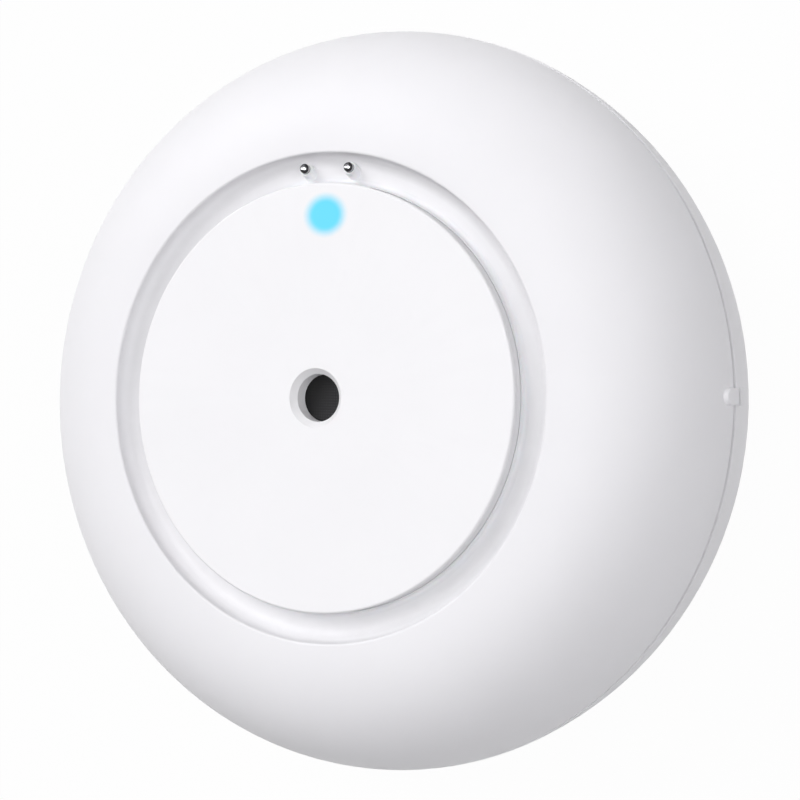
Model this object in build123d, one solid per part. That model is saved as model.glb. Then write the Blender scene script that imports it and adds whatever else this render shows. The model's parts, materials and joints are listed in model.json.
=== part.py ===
from build123d import *
import os
from math import cos, sin, radians, sqrt, hypot

# Round water leak sensor lying on its probes, drip gutter and button up.
# Millimetres. Origin on the floor under the centre, +Z up, the two upper probes at +Y.

# Battery cells, size AAA, which set the size of all that goes round them
cell_radius = 5.25
cell_length = 44.5
cell_gap = 0.8
cell_nub_radius = 1.9
cell_nub_length = 1.0
cell_edge_round = 0.5

# Chassis with the battery bay
chassis_thickness = 1.6
chassis_above_seam = 1.1
chassis_rim = 1.4
bay_wall = 1.3
bay_end_room = 2.35
bay_side_room = 0.3
bay_top_room = 0.25
bay_floor_room = 1.05
bay_lift = 0.55
divider_width = 1.2
divider_height = 2.0
clip_length = 8.0
clip_height = 1.0
clip_reach_share = 0.286
clip_offset = 12.0

# Battery contacts
contact_sheet = 0.4
contact_width = 7.0
contact_height = 8.0
contact_gap = 0.1
spring_foot_radius = 3.4
spring_top_radius = 2.2
cup_foot_radius = 3.0
cup_top_radius = 1.7
tab_width = 3.0
tab_clearance = 0.1

# Base probes, their gaskets, pads and sprung contacts
base_probe_count = 4
base_probe_first_angle = 45.0
base_probe_outset = 1.4
base_probe_head_radius = 2.5
base_probe_tip_radius = 1.0
base_probe_shank_radius = 1.2
base_probe_shank_clearance = 0.04
base_probe_end = 0.4
probe_gasket_radius = 2.1
probe_gasket_height = 0.7
contact_pad_half = 2.4
contact_pad_height = 0.5
pogo_barrel_radius = 1.2
pogo_plunger_radius = 0.75
pogo_plunger_length = 2.15
pogo_tip_gap = 0.15
pogo_tube_wall = 0.8
pogo_tube_gap = 0.6
pogo_clearance = 0.05

# Circuit board
board_margin = 0.4
board_thickness = 1.2
post_height = 1.2
post_radius = 2.2
post_count = 3
post_first_angle = 30.0
board_screw_radius = 0.9
board_screw_end_gap = 0.6
board_screw_head_radius = 1.8
board_screw_head_height = 0.9

# Screws that hold the chassis
boss_count = 4
boss_first_angle = 45.0
boss_gap = 0.8
boss_radius = 2.6
screw_radius = 1.1
screw_head_radius = 2.1
screw_head_height = 1.5
screw_length = 6.5
screw_clearance = 0.05

# Spigot and bayonet between housing and base
chassis_clearance = 0.4
spigot_wall = 2.2
spigot_clearance = 0.3
spigot_foot = 1.3
spigot_end_gap = 0.4
shoulder_height = 1.5
gasket_width = 1.4
gasket_depth = 1.7
gasket_bore_clearance = 0.1
gasket_seat_clearance = 0.05
groove_side_clearance = 0.1
lug_count = 3
lug_half_angle = 6.0
lug_first_angle = 30.0
lug_radial = 1.5
lug_thickness = 1.4
lug_depth = 4.0
slot_axial_clearance = 0.2
slot_radial_clearance = 0.3
slot_end_angle = 1.0
twist_angle = 18.0

# Outer body
rim_wall = 2.1
rim_below_seam = 1.3
rim_reach_share = 0.2182
dome_reach_share = 0.8243
seam_gap = 0.6
seam_edge = 0.06
base_height = 1.2
base_corner = 5.8
housing_wall = 2.0
base_wall = 1.8
base_rib_count = 8
base_rib_width = 1.0
base_rib_height = 0.6
base_rib_inner_radius = 8.0
base_rib_inset = 1.0

# Pair of nubs that line up when the base is shut
nub_angle = 2.2
nub_radius = 0.86
nub_stand_out = 0.5
nub_edge_round = 0.12
nub_above_seam = 2.3
nub_below_seam = 1.9

# Button
button_inset = 2.7
button_travel = 0.5
disc_thickness = 1.8
disc_edge_round = 0.25
skirt_wall = 1.0
skirt_overlap = 1.2
hub_radius = 5.5
hub_thickness = 2.2
sound_hole_radius = 2.45
countersink_radius = 3.02
countersink_depth = 0.65
rib_width = 1.0
rib_height = 0.8
hook_count = 3
hook_width = 6.0
hook_thickness = 0.8
hook_reach = 1.1
hook_height = 1.0
hook_gap = 0.1
hook_slot_clearance = 0.4
hook_slot_margin = 0.05

# Gutter round the button
gutter_width = 3.3
gutter_depth = 2.05
gutter_wall = 1.8
lip_drop = 0.25
lip_round = 0.25
cove_width = 1.3

# Well that carries the button
well_clearance = 0.3
collar_wall = 1.3
ledge_width = 3.0
ledge_thickness = 1.5
ledge_gap = 0.4
ledge_foot_gap = 0.2

# Wiper seal at the foot of the button
seal_width = 0.72
seal_height = 1.35
seal_lip_height = 0.5
seal_lip_width = 0.4
seal_clearance = 0.04

# Sound membrane under the button
membrane_radius = 4.25
membrane_thickness = 0.3
membrane_ring_bore = 3.0
membrane_ring_height = 0.6

# Upper probes in the gutter
probe_spacing = 5.1
probe_radius = 0.5
probe_outset = 1.35
probe_tip_height = 1.7
probe_lean = 15.0
probe_tip_round = 0.32
probe_boss_radius = 1.25
probe_clearance = 0.03
sleeve_foot_radius = 0.74
sleeve_top_radius = 0.66
sleeve_height = 1.15
sleeve_depth = 0.7
sleeve_pocket_clearance = 0.1

# Sounder
buzzer_inset = 10.9
buzzer_gap = 0.4
buzzer_wall = 1.2
buzzer_top = 1.0
buzzer_port_radius = 2.6
piezo_level = 1.5
piezo_sheet = 0.2
piezo_step = 0.7
piezo_clearance = 0.05
ceramic_inset = 4.5

# Status light
light_inset = 3.2
led_side = 2.8
led_height = 1.0
led_edge = 0.3
guide_foot_radius = 2.9
guide_foot_height = 2.0
guide_radius = 1.65
guide_end_gap = 0.3
guide_cavity_clearance = 0.25
guide_pocket_clearance = 0.35
light_window = 0.8

# Tactile switch
switch_gap = 0.9
switch_side = 6.2
switch_height = 3.1
plunger_radius = 1.65
plunger_stand_out = 1.1
plunger_clearance = 0.08
plunger_floor = 1.0
plunger_end_gap = 0.3
post_gap = 0.05

# Return pads
pad_count = 3
pad_first_angle = 60.0
pad_gap = 1.9
pad_foot_radius = 2.6
pad_top_radius = 1.7
pad_wall = 0.7
pad_roof = 1.2

# Radio module and controller chip
radio_length = 11.0
radio_width = 9.0
radio_height = 1.9
radio_gap = 1.1
radio_offset = 4.1
chip_side = 7.0
chip_height = 1.0
chip_gap = 2.0
chip_offset = 2.0

# Shares, angles and the length by which cuts run past a face
arc_share = 0.5523
full_turn_angle = 360.0
quarter_turn_angle = 90.0
overrun = 1.0

# Radii worked outward from the cells
cell_spacing = 2 * cell_radius + cell_gap
bay_half_length = cell_length / 2 + bay_end_room
bay_half_width = cell_spacing / 2 + cell_radius + bay_side_room
contact_face_x = bay_half_length - contact_sheet
clip_reach = cell_radius * clip_reach_share
base_probe_circle_radius = bay_half_length + base_probe_outset
pogo_tube_half = pogo_barrel_radius + pogo_tube_wall
board_radius = base_probe_circle_radius + pogo_barrel_radius + board_margin
post_circle_radius = board_radius - post_radius - board_margin
boss_circle_radius = board_radius + boss_gap + boss_radius
chassis_radius = boss_circle_radius + boss_radius + chassis_rim
spigot_inner_radius = chassis_radius + chassis_clearance
spigot_radius = spigot_inner_radius + spigot_wall
base_bore_radius = spigot_radius + spigot_clearance
gasket_outer_radius = base_bore_radius - gasket_bore_clearance
gasket_inner_radius = gasket_outer_radius - gasket_width
rim_radius = base_bore_radius + rim_wall
base_flat_radius = rim_radius - base_corner
base_ring_radius = boss_circle_radius - base_rib_inset

# Radii and places worked inward from the button
disc_radius = bay_half_length - button_inset
skirt_inner_radius = disc_radius - skirt_wall
crown_radius = disc_radius + gutter_width
probe_circle_radius = disc_radius + probe_outset
well_radius = disc_radius + well_clearance
collar_radius = well_radius + collar_wall
ledge_inner_radius = well_radius - ledge_width
seal_inner_radius = disc_radius + seal_clearance
seal_outer_radius = seal_inner_radius + seal_width
light_from_centre = disc_radius - light_inset
buzzer_radius = disc_radius - buzzer_inset
ceramic_radius = buzzer_radius - ceramic_inset
switch_from_centre = buzzer_radius + switch_gap + switch_side / 2
pad_circle_radius = buzzer_radius + pad_gap + pad_foot_radius
radio_x = -buzzer_radius - radio_gap - radio_length / 2
radio_y = -radio_offset - radio_width / 2
chip_x = buzzer_radius + chip_gap + chip_side / 2
chip_y = chip_offset + chip_side / 2

# Levels worked up from the floor
base_floor_z = base_height + base_wall
base_probe_end_z = base_floor_z + contact_pad_height + base_probe_end
barrel_end_z = base_probe_end_z + pogo_tip_gap + pogo_plunger_length
cell_z = base_floor_z + bay_floor_room + cell_radius
bay_floor_z = cell_z - cell_radius + bay_lift
chassis_under_z = cell_z + cell_radius + bay_top_room
chassis_top_z = chassis_under_z + chassis_thickness
board_under_z = chassis_top_z + post_height
board_top_z = board_under_z + board_thickness
board_screw_end_z = chassis_under_z + board_screw_end_gap
seam_z = chassis_top_z - chassis_above_seam
rim_z = seam_z - rim_below_seam
housing_edge_z = seam_z + seam_gap / 2
base_edge_z = seam_z - seam_gap / 2
shoulder_z = seam_z + shoulder_height
spigot_end_z = seam_z - lug_depth - lug_thickness - spigot_foot
bore_floor_z = spigot_end_z - spigot_end_gap
ledge_under_z = board_top_z + max(guide_foot_height, radio_height) + ledge_foot_gap
ledge_top_z = ledge_under_z + ledge_thickness
skirt_end_z = ledge_top_z + ledge_gap + button_travel
seal_seat_z = skirt_end_z + skirt_overlap
gutter_floor_z = seal_seat_z + seal_height
gutter_under_z = gutter_floor_z - gutter_wall
face_height = gutter_floor_z + gutter_depth
crown_z = face_height - lip_drop
disc_under_z = face_height - disc_thickness
hub_under_z = face_height - hub_thickness
light_pocket_z = face_height - light_window
membrane_z = hub_under_z - membrane_thickness
ring_low_z = membrane_z - membrane_ring_height
buzzer_top_z = ring_low_z - button_travel - buzzer_gap
switch_top_z = board_top_z + switch_height
plunger_top_z = switch_top_z + plunger_stand_out
plunger_low_z = board_top_z + plunger_floor + button_travel + plunger_end_gap


def polar(radius, angle, z=0):
    return (radius * cos(radians(angle)), radius * sin(radians(angle)), z)


def spaced(count, first_angle):
    return [first_angle + full_turn_angle / count * turn for turn in range(count)]


def quarter(start, end, corner):
    # Quarter ellipse from start to end whose two tangents meet at corner.
    def toward(point):
        return tuple(p + (c - p) * arc_share for p, c in zip(point, corner))
    return Bezier(start, toward(start), toward(end), end)


def turned(*edges):
    # Solid turned about Z from a closed outline in the XZ plane.
    return revolve(make_face(edges), Axis.Z)


def turned_outline(*points):
    corners = [(x, 0, z) for x, z in points]
    return revolve(make_face(Polyline(*corners, close=True)), Axis.Z)


def disc(radius, low_z, high_z, x=0, y=0):
    height = high_z - low_z
    return Pos(x, y, low_z + height / 2) * Cylinder(radius, height)


def ring(radius, bore, low_z, high_z, x=0, y=0):
    return disc(radius, low_z, high_z, x, y) - disc(bore, low_z - overrun, high_z + overrun, x, y)


def block(low, high):
    size = [b - a for a, b in zip(low, high)]
    middle = [(a + b) / 2 for a, b in zip(low, high)]
    return Pos(*middle) * Box(*size)


def sector(radius, bore, low_z, high_z, start_angle, end_angle):
    # Piece of a ring between two angles.
    outline = make_face(Polyline((bore, 0, low_z), (radius, 0, low_z), (radius, 0, high_z),
                                 (bore, 0, high_z), close=True))
    piece = revolve(outline, Axis.Z, revolution_arc=end_angle - start_angle)
    return Rot(0, 0, start_angle) * piece


def body_solid(wall):
    # The whole outer form, or the hollow inside it when wall is above 0.
    low_z = base_height + wall
    high_z = crown_z - wall
    rim = rim_radius - wall
    dome_reach = (rim - crown_radius) * dome_reach_share
    rim_reach = (crown_z - rim_z) * rim_reach_share
    foot = (base_flat_radius, 0, low_z)
    side = (rim, 0, rim_z)
    crown = (crown_radius, 0, high_z)
    return turned(
        Line((0, 0, low_z), foot),
        quarter(foot, side, (rim, 0, low_z)),
        Bezier(side, (rim, 0, rim_z + rim_reach), (crown_radius + dome_reach, 0, high_z), crown),
        Line(crown, (0, 0, high_z)),
        Line((0, 0, high_z), (0, 0, low_z)),
    )


def above(solid, z):
    return split(solid, Plane.XY.offset(z), keep=Keep.TOP)


def below(solid, z):
    return split(solid, Plane.XY.offset(z), keep=Keep.BOTTOM)


def soften_seam(solid, z):
    # Breaks the outer edge along the seam.
    rims = solid.edges().filter_by_position(Axis.Z, z, z).sort_by(lambda edge: edge.length)
    return chamfer(rims[-1], seam_edge)


def nub():
    # Flat bar with round ends across the seam, whose outer face follows the body.
    inner = rim_radius - housing_wall / 2
    outer = rim_radius + overrun
    middle = (inner + outer) / 2
    low_z = seam_z - nub_below_seam + nub_radius
    high_z = seam_z + nub_above_seam - nub_radius
    bar = block((inner, -nub_radius, low_z), (outer, nub_radius, high_z))
    for z in (low_z, high_z):
        bar += Pos(middle, 0, z) * Rot(0, quarter_turn_angle, 0) * Cylinder(nub_radius, outer - inner)
    bar &= body_solid(-nub_stand_out)
    return Rot(0, 0, nub_angle) * fillet(bar.edges().filter_by(GeomType.BSPLINE), nub_edge_round)


def gutter_and_well():
    # Everything open from above: gutter, seal seat and button well.
    cove_start = (crown_radius - lip_round - cove_width, 0, gutter_floor_z)
    cove_end = (crown_radius - lip_round, 0, crown_z - lip_round)
    lip_end = (crown_radius, 0, crown_z)
    top_z = face_height + overrun
    return turned(
        Polyline((0, 0, ledge_top_z), (well_radius, 0, ledge_top_z), (well_radius, 0, seal_seat_z),
                 (seal_outer_radius, 0, seal_seat_z), (seal_outer_radius, 0, gutter_floor_z),
                 cove_start),
        quarter(cove_start, cove_end, (cove_end[0], 0, gutter_floor_z)),
        quarter(cove_end, lip_end, (cove_end[0], 0, crown_z)),
        Polyline(lip_end, (crown_radius, 0, top_z), (0, 0, top_z), (0, 0, ledge_top_z)),
    )


def probe_places():
    half = probe_spacing / 2
    return [(side * half, sqrt(probe_circle_radius ** 2 - half ** 2)) for side in (-1, 1)]


def bayonet_cuts():
    # One run and one way in for each lug of the base.
    high_z = seam_z - lug_depth + slot_axial_clearance
    low_z = high_z - lug_thickness - slot_axial_clearance * 2
    bore = base_bore_radius - lug_radial - slot_radial_clearance
    reach = spigot_radius + overrun
    half = lug_half_angle + slot_end_angle
    cuts = []
    for angle in spaced(lug_count, lug_first_angle):
        open_angle = angle + twist_angle
        cuts.append(sector(reach, bore, low_z, high_z, angle - half, open_angle + half))
        cuts.append(sector(reach, bore, spigot_end_z - overrun, high_z,
                           open_angle - half, open_angle + half))
    return cuts


def top_housing():
    blank = soften_seam(above(body_solid(0), housing_edge_z), housing_edge_z)
    hollow = above(body_solid(housing_wall), shoulder_z) + disc(spigot_inner_radius, 0, shoulder_z)
    shell = blank - hollow + ring(spigot_radius, spigot_inner_radius, spigot_end_z, shoulder_z)
    trough = disc(crown_radius, gutter_under_z, crown_z)
    shell += trough + disc(collar_radius, ledge_under_z, gutter_under_z)
    for angle in spaced(boss_count, boss_first_angle):
        x, y, _ = polar(boss_circle_radius, angle)
        shell += disc(boss_radius, chassis_top_z, crown_z, x, y) & body_solid(housing_wall / 2)
    for x, y in probe_places():
        shell += disc(probe_boss_radius, ledge_under_z, gutter_under_z, x, y)
    shell -= gutter_and_well()
    shell -= disc(ledge_inner_radius, ledge_under_z - overrun, ledge_top_z + overrun)
    shell -= hook_slots()
    light_notch = guide_radius + guide_pocket_clearance
    shell -= disc(light_notch, ledge_under_z - overrun, ledge_top_z + overrun, 0, light_from_centre)
    for angle in spaced(boss_count, boss_first_angle):
        x, y, _ = polar(boss_circle_radius, angle)
        shell -= disc(screw_radius + screw_clearance, 0, chassis_under_z + screw_length, x, y)
    for x, y in probe_places():
        shell -= disc(probe_radius + probe_clearance, ledge_under_z - overrun, face_height, x, y)
        pocket = sleeve_foot_radius + sleeve_pocket_clearance
        shell -= disc(pocket, gutter_floor_z, face_height, x, y)
    groove_half = gasket_width / 2 + groove_side_clearance
    groove_z = seam_z - gasket_depth
    shell -= ring(spigot_radius + overrun, gasket_inner_radius - gasket_seat_clearance,
                  groove_z - groove_half, groove_z + groove_half)
    shell -= bayonet_cuts()
    return shell + above(nub(), housing_edge_z)


def housing_gasket():
    # Square section ring in the groove of the spigot.
    middle = seam_z - gasket_depth
    half = gasket_width / 2
    return ring(gasket_outer_radius, gasket_inner_radius, middle - half, middle + half)


def hook_slots():
    # Openings in the ledge that the legs of the button pass through.
    half = hook_width / 2 + hook_slot_clearance
    inner = skirt_inner_radius - hook_slot_clearance
    outer = sqrt(well_radius ** 2 - half ** 2) - hook_slot_margin
    slot = block((inner, -half, ledge_under_z - overrun), (outer, half, ledge_top_z + overrun))
    return [Rot(0, 0, angle) * slot for angle in spaced(hook_count, 0)]


def button_seal():
    # Soft ring in the gutter floor whose lip wipes the side of the button.
    tip_z = gutter_floor_z + seal_lip_height
    lip_foot = (seal_inner_radius + seal_lip_width, 0, gutter_floor_z)
    lip_tip = (seal_inner_radius, 0, tip_z)
    return turned(
        Polyline(lip_tip, (seal_inner_radius, 0, seal_seat_z), (seal_outer_radius, 0, seal_seat_z),
                 (seal_outer_radius, 0, gutter_floor_z), lip_foot),
        quarter(lip_foot, lip_tip, (seal_inner_radius, 0, gutter_floor_z)),
    )


def button_hook():
    # Leg under the skirt with a barb that catches below the collar.
    top_z = skirt_end_z
    barb_top_z = ledge_under_z - hook_gap
    barb_low_z = barb_top_z - hook_height
    inner = skirt_inner_radius
    outer = inner + hook_thickness
    outline = Polyline((inner, 0, top_z + skirt_wall), (inner, 0, barb_low_z), (outer, 0, barb_low_z),
                       (outer + hook_reach, 0, barb_top_z), (outer, 0, barb_top_z),
                       (outer, 0, top_z + skirt_wall), close=True)
    leg = revolve(make_face(outline), Axis.Z, revolution_arc=full_turn_angle)
    half = hook_width / 2
    return leg & block((0, -half, barb_low_z - overrun), (rim_radius, half, face_height))


def button_disc():
    edge = disc_edge_round
    cap = turned(
        Polyline((0, 0, disc_under_z), (skirt_inner_radius, 0, disc_under_z),
                 (skirt_inner_radius, 0, skirt_end_z),
                 (disc_radius, 0, skirt_end_z), (disc_radius, 0, face_height - edge)),
        quarter((disc_radius, 0, face_height - edge), (disc_radius - edge, 0, face_height),
                (disc_radius, 0, face_height)),
        Polyline((disc_radius - edge, 0, face_height), (0, 0, face_height), (0, 0, disc_under_z)),
    )
    cap += disc(hub_radius, hub_under_z, disc_under_z)
    half = rib_width / 2
    for angle in spaced(hook_count, 0):
        rib = block((hub_radius - half, -half, disc_under_z - rib_height),
                    (skirt_inner_radius + half, half, disc_under_z))
        cap += Rot(0, 0, angle) * rib
        cap += Rot(0, 0, angle) * button_hook()
    cap += disc(plunger_radius, plunger_top_z + post_gap, disc_under_z, 0, -switch_from_centre)
    pocket = guide_radius + guide_pocket_clearance
    cap -= disc(pocket, disc_under_z - overrun, light_pocket_z, 0, light_from_centre)
    hole = turned_outline((0, hub_under_z - overrun), (sound_hole_radius, hub_under_z - overrun),
                          (sound_hole_radius, face_height - countersink_depth),
                          (countersink_radius, face_height), (countersink_radius, face_height + overrun),
                          (0, face_height + overrun))
    return cap - hole


def sound_membrane():
    return disc(membrane_radius, membrane_z, hub_under_z)


def membrane_ring():
    return ring(membrane_radius, membrane_ring_bore, ring_low_z, membrane_z)


def upper_probe(x, y):
    # Pin that stands in the board, rises through the gutter floor and leans outward.
    bend = Vector(x, y, gutter_floor_z)
    shank = disc(probe_radius, board_under_z, gutter_floor_z, x, y)
    length = probe_tip_height / cos(radians(probe_lean))
    tip = turned(
        Line((0, 0, 0), (probe_radius, 0, 0)),
        Line((probe_radius, 0, 0), (probe_radius, 0, length - probe_tip_round)),
        quarter((probe_radius, 0, length - probe_tip_round), (probe_radius - probe_tip_round, 0, length),
                (probe_radius, 0, length)),
        Line((probe_radius - probe_tip_round, 0, length), (0, 0, length)),
        Line((0, 0, length), (0, 0, 0)),
    )
    return shank + Pos(*bend) * Sphere(probe_radius) + Pos(*bend) * Rot(-probe_lean, 0, 0) * tip


def upper_probes():
    return Compound(children=[upper_probe(x, y) for x, y in probe_places()])


def probe_sleeves():
    # Soft collars at the foot of the upper probes.
    sleeves = []
    for x, y in probe_places():
        place = Pos(x, y, gutter_floor_z) * Rot(-probe_lean, 0, 0)
        cone = place * turned_outline((0, -sleeve_depth), (sleeve_foot_radius, -sleeve_depth),
                                      (sleeve_foot_radius, 0), (sleeve_top_radius, sleeve_height),
                                      (0, sleeve_height))
        bore = place * disc(probe_radius + probe_clearance, -sleeve_depth, sleeve_height + overrun)
        bore += Pos(x, y, gutter_floor_z) * Sphere(probe_radius + probe_clearance)
        sleeves.append(above(cone, gutter_floor_z) - bore)
    return Compound(children=sleeves)


def battery_bay():
    outer_x = bay_half_length + bay_wall
    outer_y = bay_half_width + bay_wall
    bay = block((-outer_x, -outer_y, bay_floor_z), (outer_x, outer_y, chassis_under_z))
    bay -= block((-bay_half_length, -bay_half_width, bay_floor_z - overrun),
                 (bay_half_length, bay_half_width, chassis_under_z))
    half = divider_width / 2
    bay += block((-bay_half_length, -half, chassis_under_z - divider_height),
                 (bay_half_length, half, chassis_under_z))
    for x in (-clip_offset, clip_offset):
        for side in (-1, 1):
            wall_y = side * bay_half_width
            lip_y = side * (bay_half_width - clip_reach)
            bay += block((x - clip_length / 2, min(wall_y, lip_y), bay_floor_z),
                         (x + clip_length / 2, max(wall_y, lip_y), bay_floor_z + clip_height))
    return bay


def tab_holes(low_z, high_z):
    # Slots that the tabs of the battery contacts pass through.
    half = tab_width / 2 + tab_clearance
    holes = []
    for x in (contact_face_x, -bay_half_length):
        for y in (-cell_spacing / 2, cell_spacing / 2):
            holes.append(block((x - tab_clearance, y - half, low_z),
                               (x + contact_sheet + tab_clearance, y + half, high_z)))
    return holes


def inner_chassis():
    plate = disc(chassis_radius, chassis_under_z, chassis_top_z) + battery_bay()
    for angle in spaced(base_probe_count, base_probe_first_angle):
        x, y, _ = polar(base_probe_circle_radius, angle)
        middle = base_probe_circle_radius
        tower = block((middle - pogo_tube_half, -pogo_tube_half, barrel_end_z + pogo_tube_gap),
                      (middle + pogo_tube_half, pogo_tube_half, chassis_under_z))
        plate += Rot(0, 0, angle) * tower
        plate -= disc(pogo_barrel_radius + pogo_clearance, 0, chassis_top_z + overrun, x, y)
    for angle in spaced(post_count, post_first_angle):
        x, y, _ = polar(post_circle_radius, angle)
        plate += disc(post_radius, chassis_top_z, board_under_z, x, y)
        hole = board_screw_radius + screw_clearance
        plate -= disc(hole, board_screw_end_z, board_under_z + overrun, x, y)
    for angle in spaced(boss_count, boss_first_angle):
        x, y, _ = polar(boss_circle_radius, angle)
        plate -= disc(screw_radius + screw_clearance, 0, chassis_top_z + overrun, x, y)
    return plate - tab_holes(chassis_under_z - overrun, chassis_top_z + overrun)


def screw(x, y, shank, length, head_radius, head_height, low_z, side):
    # Round headed screw; side is 1 when its head is at the top.
    head_end = low_z + side * head_height
    shank_end = low_z - side * length
    head = disc(head_radius, min(low_z, head_end), max(low_z, head_end), x, y)
    return head + disc(shank, min(low_z, shank_end), max(low_z, shank_end), x, y)


def chassis_screws():
    places = [polar(boss_circle_radius, angle) for angle in spaced(boss_count, boss_first_angle)]
    reach = screw_length - screw_clearance
    return Compound(children=[screw(x, y, screw_radius, reach, screw_head_radius, screw_head_height,
                                    chassis_under_z, -1) for x, y, _ in places])


def board_screws():
    places = [polar(post_circle_radius, angle) for angle in spaced(post_count, post_first_angle)]
    reach = board_top_z - board_screw_end_z - screw_clearance
    return Compound(children=[screw(x, y, board_screw_radius, reach, board_screw_head_radius,
                                    board_screw_head_height, board_top_z, 1) for x, y, _ in places])


def circuit_board():
    board = disc(board_radius, board_under_z, board_top_z)
    low_z = board_under_z - overrun
    high_z = board_top_z + overrun
    for angle in spaced(post_count, post_first_angle):
        x, y, _ = polar(post_circle_radius, angle)
        board -= disc(board_screw_radius + screw_clearance, low_z, high_z, x, y)
    for x, y in probe_places():
        board -= disc(probe_radius + probe_clearance, low_z, high_z, x, y)
    return board - tab_holes(low_z, high_z)


def cell(y, nub_side):
    half = cell_length / 2
    edge = cell_edge_round
    body_end = half - cell_nub_length
    can = turned_outline((0, -half), (cell_radius - edge, -half), (cell_radius, -half + edge),
                         (cell_radius, body_end - edge), (cell_radius - edge, body_end),
                         (cell_nub_radius, body_end), (cell_nub_radius, half), (0, half))
    return Pos(0, y, cell_z) * Rot(0, nub_side * quarter_turn_angle, 0) * can


def contact_plate(side, y):
    # Sheet against the end wall of the bay with a tab up to the board.
    inner = side * contact_face_x
    outer = side * bay_half_length
    low_x = min(inner, outer)
    high_x = max(inner, outer)
    sheet = block((low_x, y - contact_width / 2, cell_z - contact_height / 2),
                  (high_x, y + contact_width / 2, cell_z + contact_height / 2))
    return sheet + block((low_x, y - tab_width / 2, cell_z), (high_x, y + tab_width / 2, board_top_z))


def contact_cone(side, y, foot_radius, top_radius):
    # Formed cup or cone spring that reaches the end of a cell.
    reach = contact_face_x - cell_length / 2 - contact_gap
    wall = contact_sheet
    cone = turned_outline((foot_radius, 0), (top_radius, reach), (0, reach), (0, reach - wall),
                          (top_radius - wall, reach - wall), (foot_radius - wall, 0))
    return Pos(side * contact_face_x, y, cell_z) * Rot(0, -side * quarter_turn_angle, 0) * cone


def positive_contact():
    y = cell_spacing / 2
    return contact_plate(1, y) + contact_cone(1, y, cup_foot_radius, cup_top_radius)


def negative_contact():
    y = -cell_spacing / 2
    return contact_plate(1, y) + contact_cone(1, y, spring_foot_radius, spring_top_radius)


def link_contact():
    # One plate that joins the two cells in series.
    y = cell_spacing / 2
    bridge = block((-bay_half_length, -y, cell_z - contact_height / 2),
                   (-contact_face_x, y, cell_z - contact_height / 2 + tab_width))
    cells = contact_cone(-1, y, spring_foot_radius, spring_top_radius)
    cells += contact_cone(-1, -y, cup_foot_radius, cup_top_radius)
    return contact_plate(-1, y) + contact_plate(-1, -y) + bridge + cells


def buzzer_case():
    inner = buzzer_radius - buzzer_wall
    step_z = board_top_z + piezo_level + piezo_sheet * 2
    top_z = buzzer_top_z
    return turned_outline((buzzer_port_radius, top_z), (buzzer_port_radius, top_z - buzzer_top),
                          (inner - piezo_step, top_z - buzzer_top), (inner - piezo_step, step_z),
                          (inner, step_z), (inner, board_top_z), (buzzer_radius, board_top_z),
                          (buzzer_radius, top_z))


def piezo_disc():
    # Metal sheet with the ceramic layer under it, glued to the step in the case.
    top_z = board_top_z + piezo_level + piezo_sheet * 2
    sheet = disc(buzzer_radius - buzzer_wall - piezo_clearance, top_z - piezo_sheet, top_z)
    return sheet + disc(ceramic_radius, top_z - piezo_sheet * 2, top_z - piezo_sheet)


def status_led():
    half = led_side / 2
    y = light_from_centre
    package = block((-half, y - half, board_top_z), (half, y + half, board_top_z + led_height))
    return chamfer(package.edges().group_by(Axis.Z)[-1], led_edge)


def light_guide():
    # Clear stem over the light that ends under the thin spot of the button.
    half = led_side / 2
    cavity = hypot(half, half) + guide_cavity_clearance
    cavity_z = board_top_z + led_height + guide_cavity_clearance
    foot_z = board_top_z + guide_foot_height
    top_z = light_pocket_z - button_travel - guide_end_gap
    stem = turned_outline((0, cavity_z), (cavity, cavity_z), (cavity, board_top_z),
                          (guide_foot_radius, board_top_z), (guide_foot_radius, foot_z),
                          (guide_radius, foot_z), (guide_radius, top_z), (0, top_z))
    return Pos(0, light_from_centre, 0) * stem


def switch_body():
    half = switch_side / 2
    y = -switch_from_centre
    body = block((-half, y - half, board_top_z), (half, y + half, switch_top_z))
    bore = plunger_radius + plunger_clearance
    return body - disc(bore, board_top_z + plunger_floor, switch_top_z + overrun, 0, y)


def switch_plunger():
    return disc(plunger_radius, plunger_low_z, plunger_top_z, 0, -switch_from_centre)


def return_pads():
    # Hollow soft cones that push the button back up.
    bore = pad_foot_radius - pad_wall
    pad = turned_outline((bore, board_top_z), (pad_foot_radius, board_top_z),
                         (pad_top_radius, disc_under_z), (0, disc_under_z), (0, disc_under_z - pad_roof),
                         (pad_top_radius - pad_wall, disc_under_z - pad_roof))
    places = [polar(pad_circle_radius, angle) for angle in spaced(pad_count, pad_first_angle)]
    return Compound(children=[Pos(*place) * pad for place in places])


def radio_module():
    half_x = radio_length / 2
    half_y = radio_width / 2
    can = block((radio_x - half_x, radio_y - half_y, board_top_z),
                (radio_x + half_x, radio_y + half_y, board_top_z + radio_height))
    return chamfer(can.edges().group_by(Axis.Z)[-1], led_edge)


def main_chip():
    half = chip_side / 2
    return block((chip_x - half, chip_y - half, board_top_z),
                 (chip_x + half, chip_y + half, board_top_z + chip_height))


def spring_contacts():
    # Sprung pins that reach down from the board to the base probes.
    pins = []
    tip_z = barrel_end_z - pogo_plunger_length
    for angle in spaced(base_probe_count, base_probe_first_angle):
        x, y, _ = polar(base_probe_circle_radius, angle)
        barrel = disc(pogo_barrel_radius, barrel_end_z, board_under_z, x, y)
        pins.append(barrel + disc(pogo_plunger_radius, tip_z, barrel_end_z, x, y))
    return Compound(children=pins)


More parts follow.
